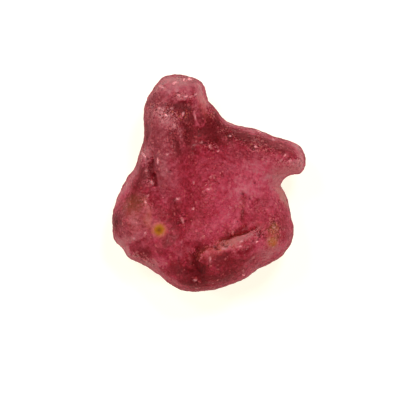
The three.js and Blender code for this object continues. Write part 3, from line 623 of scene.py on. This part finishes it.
def dot_shape(points, dots):
    """Round dots over x and y, 1 in their middles."""
    marks = np.zeros(len(points))
    for x, y, radius in dots:
        away = np.hypot(points[:, 0] - x, points[:, 1] - y) / radius
        marks = np.maximum(marks, np.exp(-(away**2)))
    return marks


def add_features(effects, skin):
    """Adds what the patches, the seams and the pits do. Their outlines stray a little."""
    wobble = np.stack([fractal(skin.points, WOBBLE_SIZE, seed) for seed in WOBBLE_SEEDS], axis=1)
    places, paths = skin.points.copy(), skin.points.copy()
    places[:, :2] += PATCH_WOBBLE * wobble
    paths[:, :2] += SEAM_WOBBLE * wobble
    shapes = [(patch_shape(places, **patch), patch) for patch in PATCHES.values()]
    shapes += [(seam_shape(paths, **seam), seam) for seam in SEAMS.values()]
    for shape, feature in shapes:
        for name, total in effects.items():
            total += skin.upper * feature.get(name, 0) * shape
    effects["pit"] += skin.upper * dot_shape(paths, DARK_PITS)
    effects["rise"] -= PIT_DEPTH * effects["pit"]


def add_rings(effects, skin):
    """Adds the round stains, their dark middles and their pale halos."""
    for ring in RINGS.values():
        x, y = ring["at"]
        away = np.hypot(skin.points[:, 0] - x, skin.points[:, 1] - y) / ring["radius"]
        disc = np.exp(-(away**4))
        halo = np.exp(-(((away - HALO_PLACE) / HALO_WIDTH) ** 2))
        middle = np.exp(-((away / RING_MIDDLE) ** 2))
        stain = skin.upper * ring["stain"]
        effects["painted_light_and_tone"] += stain * HALO_TONE * halo
        effects["ochre"] += stain * (RING_OCHRE * disc + HALO_OCHRE * halo)
        effects["matt"] += stain * disc
        effects["olive"] += skin.upper * ring["middle"] * middle


def add_rim_light_and_grains(effects, skin):
    """Paints light on the rim, the glow and sheen of its thin edge, strews grains in drifts all over,
    then keeps the effects in bounds.
    """
    rim = skin.upper * (1 - smoothstep(skin.facing[:, 2], *RIM))
    effects["painted_light_and_tone"] += RIM_PAINTED_GLOW * rim
    effects["dust_and_sheen"] += RIM_PAINTED_SHEEN * rim
    effects["speckle"] += SPECKLE_SHARE
    effects["amber"] += AMBER_SHARE
    drifts = 1 + DRIFT_STRENGTH * fractal(skin.points, DRIFT_SIZE, DRIFT_SEED)
    effects["speckle"] *= np.clip(drifts, *DRIFT_LIMITS)
    effects["painted_light_and_tone"] = np.clip(effects["painted_light_and_tone"], *TONE_LIMITS)
    for name in ("speckle", "dust_and_sheen"):
        effects[name] = np.maximum(effects[name], 0)


def cut_facet(skin, x, y, along, across, turn):
    """Flattens a small oval of the upper side.

    Returns how far each point belongs to it, and the way it faces.
    """
    away = np.hypot(*oval_place(skin.points, (x, y), along, across, turn))
    share = 1 - smoothstep(away, *FACET_EDGE)
    share[skin.facing[:, 2] < FACET_LOWEST] = 0
    inside = share > 0
    around = skin.facing[inside].mean(axis=0)
    normal = np.array(max(FACET_NORMALS, key=lambda way: np.dot(way, around)))
    middle = skin.points[inside].mean(axis=0)
    step = share[inside] * np.clip((skin.points[inside] - middle) @ normal, -FACET_STEP, FACET_STEP)
    skin.points[inside] -= step[:, None] * normal
    return share, normal


def cut_facets(skin):
    """Cuts all the facets.

    Returns how far each point belongs to one, and what turns its normal into the facet's.
    """
    cuts = [cut_facet(skin, *facet) for facet in FACETS]
    now = skin.normals()
    turn = sum(share[:, None] * (normal - now) for share, normal in cuts)
    return np.max([share for share, _ in cuts], axis=0), turn


def add_mask(piece, name, values, kind="FLOAT", field="value"):
    """Gives the material one value or vector for each point."""
    mask = piece.data.attributes.new(name, kind, "POINT")
    mask.data.foreach_set(field, values.ravel().astype(np.float32))


def make_stone(node):
    skin = Skin(*even_quads(node))
    effects = {name: np.zeros(len(skin.points)) for name in EFFECTS}
    add_features(effects, skin)
    add_rings(effects, skin)
    shine = 1 - np.clip(effects.pop("matt"), 0, 1)
    effects["polish"] = smoothstep(skin.facing[:, 2], *LEVEL) * shine

    relief = effects.pop("rise")
    for seed, lumps in enumerate(ROLLING):
        relief += lumps["height"] * fractal(skin.points, lumps["size"], seed)
    skin.raise_by(relief)
    add_rim_light_and_grains(effects, skin)
    effects["facet"], facet_turn = cut_facets(skin)

    stone = new_mesh_object("garnet_stone", skin.points, skin.quads)
    stone.data.polygons.foreach_set("use_smooth", np.ones(len(skin.quads), bool))
    for name, values in effects.items():
        add_mask(stone, name, values)
    add_mask(stone, "facet_turn", facet_turn, "FLOAT_VECTOR", "vector")
    return stone


# ---- Materials ----------------------------------------------------------------------------------


class Nodes:
    """Short ways to add and join shader nodes in one node tree."""

    def __init__(self, tree):
        self.tree = tree

    def add(self, kind, inputs=(), **settings):
        node = self.tree.nodes.new(kind)
        for name, value in settings.items():
            setattr(node, name, value)
        for name, value in dict(inputs).items():
            self.feed(node.inputs[name], value)
        return node

    def feed(self, socket, value):
        if isinstance(value, bpy.types.NodeSocket):
            self.tree.links.new(value, socket)
        else:
            socket.default_value = value

    def mask(self, name, output="Fac"):
        return self.add("ShaderNodeAttribute", attribute_name=name).outputs[output]

    def math(self, operation, a, b):
        return self.add("ShaderNodeMath", {0: a, 1: b}, operation=operation).outputs[0]

    def vector(self, operation, a, b):
        return self.add("ShaderNodeVectorMath", {0: a, 1: b}, operation=operation).outputs[0]

    def normalized(self, vector):
        return self.add("ShaderNodeVectorMath", {0: vector}, operation="NORMALIZE").outputs[0]

    def mapped(self, value, source=(0.0, 1.0), target=(0.0, 1.0), **settings):
        """The value moved from the source range to the target range, and held in it."""
        limits = dict(zip(("From Min", "From Max", "To Min", "To Max"), (*source, *target)))
        node = self.add("ShaderNodeMapRange", {"Value": value, **limits}, **settings)
        return node.outputs["Result"]

    def ramp(self, value, stops):
        node = self.add("ShaderNodeValToRGB", {"Fac": value})
        elements = node.color_ramp.elements
        while len(elements) < len(stops):
            elements.new(1)
        for element, (place, colour) in zip(elements, stops):
            element.position = place
            element.color = (*colour, 1)
        return node.outputs["Color"]

    def mix(self, share, a, b):
        return self.add("ShaderNodeMix", {"Factor": share, 6: a, 7: b}, data_type="RGBA").outputs[2]

    def shifted(self, place, seed):
        return self.vector("ADD", place, [seed * step for step in SEED_SHIFT])

    def noise(self, place, size, strength, seed):
        """Noise of about -strength to strength, with features of that size in millimetres."""
        texture = self.add("ShaderNodeTexNoise", {
            "Vector": self.shifted(place, seed), "Scale": 1 / (size * MM), "Detail": NOISE_DETAIL,
        })
        return self.mapped(texture.outputs["Fac"], NOISE_SPAN, (-strength, strength))


def grains(nodes, place, share, size, seed):
    """Crystal grains of about that size, in about that share of all places.

    Returns the cells they grow in, and their height, from 0 between them to 1.
    """
    warp = nodes.add("ShaderNodeTexNoise", {"Vector": place, "Scale": 1 / (WARP_SIZE * size * MM)})
    warped = nodes.add("ShaderNodeVectorMath", {
        0: warp.outputs["Color"], 1: (GRAIN_WARP * size * MM,) * 3, 2: nodes.shifted(place, seed),
    }, operation="MULTIPLY_ADD")
    cells = nodes.add("ShaderNodeTexVoronoi", {
        "Vector": warped.outputs["Vector"], "Scale": 1 / (size * MM),
    })
    chance = nodes.add("ShaderNodeSeparateColor", {"Color": cells.outputs["Color"]})
    chosen = nodes.mapped(chance.outputs["Red"], (share, 0.0))
    dome = nodes.mapped(cells.outputs["Distance"], GRAIN_SLOPE, interpolation_type="SMOOTHSTEP")
    return cells, nodes.math("MULTIPLY", chosen, dome)


def grain_amber(nodes, cells):
    """1 in the cells whose grains are amber."""
    chance = nodes.add("ShaderNodeSeparateColor", {"Color": cells.outputs["Color"]})
    return nodes.math("LESS_THAN", chance.outputs["Green"], nodes.mask("amber"))


def grain_lean(nodes, cells, height):
    """The way in which the face of each grain leans."""
    turned = nodes.add("ShaderNodeTexWhiteNoise", {"Vector": cells.outputs["Position"]})
    lean = nodes.vector("SUBTRACT", turned.outputs["Color"], (0.5, 0.5, 0.5))
    return nodes.vector("MULTIPLY", lean, height)


def mottled_tone(nodes, place):
    """How pale the stone is, from 0 to 1: its own tone and the painted light and shade of the patches and
    seams, mottled.
    """
    painted_light_and_tone = nodes.mask("painted_light_and_tone")
    for mottles in MOTTLING:
        painted_light_and_tone = nodes.math("ADD", painted_light_and_tone, nodes.noise(place, *mottles))
    grit = nodes.math("MULTIPLY", nodes.noise(place, *GRIT), nodes.mask("speckle"))
    return nodes.mapped(nodes.math("ADD", painted_light_and_tone, grit), (-1.0, 1.0))


def stone_colour(nodes, painted_light_and_tone, pale, amber, dark):
    """The colour of the clean skin and of the duller skin with its painted sheen, under the grains, whose
    pale colour is partly painted glints, the stains, the pits with their painted shade and the facets
    with their painted highlights.
    """
    colour = nodes.mix(
        nodes.mask("dust_and_sheen"), nodes.ramp(painted_light_and_tone, BODY_COLOURS), nodes.ramp(painted_light_and_tone, DUST_AND_SHEEN_COLOURS),
    )
    amber_share = nodes.math("MULTIPLY", amber, AMBER_STRENGTH)
    grain_colour = nodes.mix(amber_share, nodes.ramp(painted_light_and_tone, GRAIN_AND_GLINT_COLOURS), (*AMBER, 1))
    dark_strength = nodes.mapped(nodes.mask("speckle"), (0.0, CROWDED), DARK_STRENGTH)
    layers = [
        (nodes.math("MULTIPLY", pale, GRAIN_AND_GLINT_STRENGTH), grain_colour),
        (nodes.math("MULTIPLY", dark, dark_strength), (*PIT_SHADE_COLOUR, 1)),
        (nodes.mask("ochre"), (*OCHRE, 1)),
        (nodes.mask("olive"), (*OLIVE, 1)),
        (nodes.mask("pit"), (*PIT_SHADE_COLOUR, 1)),
        (nodes.math("MULTIPLY", nodes.mask("facet"), FACET_HIGHLIGHT_STRENGTH), (*FACET_HIGHLIGHT_COLOUR, 1)),
    ]
    for share, layer in layers:
        colour = nodes.mix(share, colour, layer)
    return colour


def stone_normal(nodes, place, pale, dark, lean):
    """The normal, bumped by the grains and fine lumps but flat on each facet."""
    relief = nodes.math("SUBTRACT", pale, dark)
    relief = nodes.math("ADD", relief, nodes.noise(place, *FINE_LUMPS))
    bump = nodes.add("ShaderNodeBump", {
        "Height": relief, "Distance": GRAIN_HEIGHT * MM,
        "Strength": nodes.math("SUBTRACT", 1.0, nodes.mask("facet")),
    })
    lean = nodes.vector("MULTIPLY", lean, (GRAIN_LEAN,) * 3)
    lean = nodes.mix(nodes.mask("facet"), lean, nodes.mask("facet_turn", "Vector"))
    return nodes.normalized(nodes.vector("ADD", bump.outputs["Normal"], lean))


def stone_roughness(nodes, pale):
    skin = nodes.mapped(nodes.mask("polish"), target=(ROUGHNESS["flank"], ROUGHNESS["level"]))
    flat = nodes.math("MAXIMUM", nodes.mask("facet"), pale)
    return nodes.mapped(flat, target=(skin, ROUGHNESS["facet"]))


def garnet_material():
    material = bpy.data.materials.new("rhodolite")
    material.use_nodes = True
    nodes = Nodes(material.node_tree)
    place = nodes.add("ShaderNodeTexCoord").outputs["Object"]
    painted_light_and_tone = mottled_tone(nodes, place)
    speckle = nodes.mask("speckle")
    large_cells, large = grains(nodes, place, speckle, **LARGE_GRAINS)
    small_cells, small = grains(nodes, place, speckle, **SMALL_GRAINS)
    _, dark = grains(nodes, place, nodes.math("MULTIPLY", speckle, DARK_SHARE), **DARK_GRAINS)
    pale = nodes.math("MAXIMUM", large, small)
    amber = grain_amber(nodes, large_cells)
    leans = grain_lean(nodes, large_cells, large), grain_lean(nodes, small_cells, small)
    lean = nodes.vector("ADD", *leans)

    shader = nodes.tree.nodes["Principled BSDF"]
    nodes.feed(shader.inputs["Base Color"], stone_colour(nodes, painted_light_and_tone, pale, amber, dark))
    nodes.feed(shader.inputs["Normal"], stone_normal(nodes, place, pale, dark, lean))
    nodes.feed(shader.inputs["Roughness"], stone_roughness(nodes, pale))
    shader.inputs["IOR"].default_value = REFRACTION
    shader.inputs["Specular Tint"].default_value = (*SHINE, 1)
    shader.inputs["Transmission Weight"].default_value = CLEARNESS
    absorb = nodes.add("ShaderNodeVolumeAbsorption", {
        "Color": (*ABSORPTION_COLOUR, 1), "Density": ABSORPTION_DENSITY,
    })
    nodes.feed(nodes.tree.nodes["Material Output"].inputs["Volume"], absorb.outputs["Volume"])
    return material


# ---- Making the stage ---------------------------------------------------------------------------


def make_floor():
    ends = (-FLOOR_HALF, FLOOR_HALF)
    corners = np.array([[x, y, -FLOOR_GAP] for x in ends for y in ends])
    floor = new_mesh_object("floor", corners, np.array([[0, 2, 3, 1]]))
    material = bpy.data.materials.new("pale_floor")
    material.use_nodes = True
    shader = material.node_tree.nodes["Principled BSDF"]
    shader.inputs["Base Color"].default_value = (*FLOOR_COLOUR, 1)
    shader.inputs["Roughness"].default_value = FLOOR_ROUGHNESS
    shader.inputs["Specular IOR Level"].default_value = 0
    shader.inputs["Emission Color"].default_value = (*FLOOR_GLOW, 1)
    shader.inputs["Emission Strength"].default_value = 1
    floor.data.materials.append(material)


def make_world():
    """Pale walls that fade into a dark ceiling, so that level faces keep their depth of colour."""
    world = bpy.data.worlds.new("studio")
    world.use_nodes = True
    nodes = Nodes(world.node_tree)
    direction = nodes.add("ShaderNodeTexCoord").outputs["Generated"]
    height = nodes.add("ShaderNodeSeparateXYZ", {"Vector": direction}).outputs["Z"]
    brightness = nodes.mapped(height, WALL_TOP, (WALLS, CEILING), interpolation_type="SMOOTHSTEP")
    background = world.node_tree.nodes["Background"]
    nodes.feed(background.inputs["Strength"], brightness)
    background.inputs["Color"].default_value = (1, 1, 1, 1)
    bpy.context.scene.world = world


def make_lamps():
    for name, (place, diameter, power) in LAMPS.items():
        light = bpy.data.lights.new(name, "AREA")
        light.shape = "DISK"
        light.size = diameter * MM
        light.energy = power
        lamp = bpy.data.objects.new(name, light)
        lamp.location = Vector(place) * MM
        lamp.rotation_euler = (-lamp.location).to_track_quat("-Z", "Y").to_euler()
        bpy.context.collection.objects.link(lamp)


def make_camera():
    """The camera looks straight down, with a long lens that shows the stone at the photo's scale."""
    lens = bpy.data.cameras.new("camera")
    lens.sensor_width = SENSOR
    lens.lens = SENSOR * CAMERA_DISTANCE * PIXELS_PER_MM / IMAGE_WIDTH
    lens.clip_start = CAMERA_REACH[0] * MM
    lens.clip_end = CAMERA_REACH[1] * MM
    camera = bpy.data.objects.new("camera", lens)
    camera.location = Vector((*AIM, RIM_HEIGHT + CAMERA_DISTANCE)) * MM
    bpy.context.collection.objects.link(camera)
    bpy.context.scene.camera = camera


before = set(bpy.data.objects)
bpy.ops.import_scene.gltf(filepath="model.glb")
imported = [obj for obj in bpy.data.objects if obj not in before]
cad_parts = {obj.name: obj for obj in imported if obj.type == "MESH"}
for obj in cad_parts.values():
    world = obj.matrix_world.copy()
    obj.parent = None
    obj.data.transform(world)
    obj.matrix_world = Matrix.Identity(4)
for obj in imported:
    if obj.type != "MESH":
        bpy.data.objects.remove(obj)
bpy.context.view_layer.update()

stone = make_stone(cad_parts[NODE])
stone.data.materials.append(garnet_material())
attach(stone, "root")
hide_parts(NODE)

make_floor()
make_world()
make_lamps()
make_camera()
bpy.context.scene.view_settings.view_transform = "Standard"
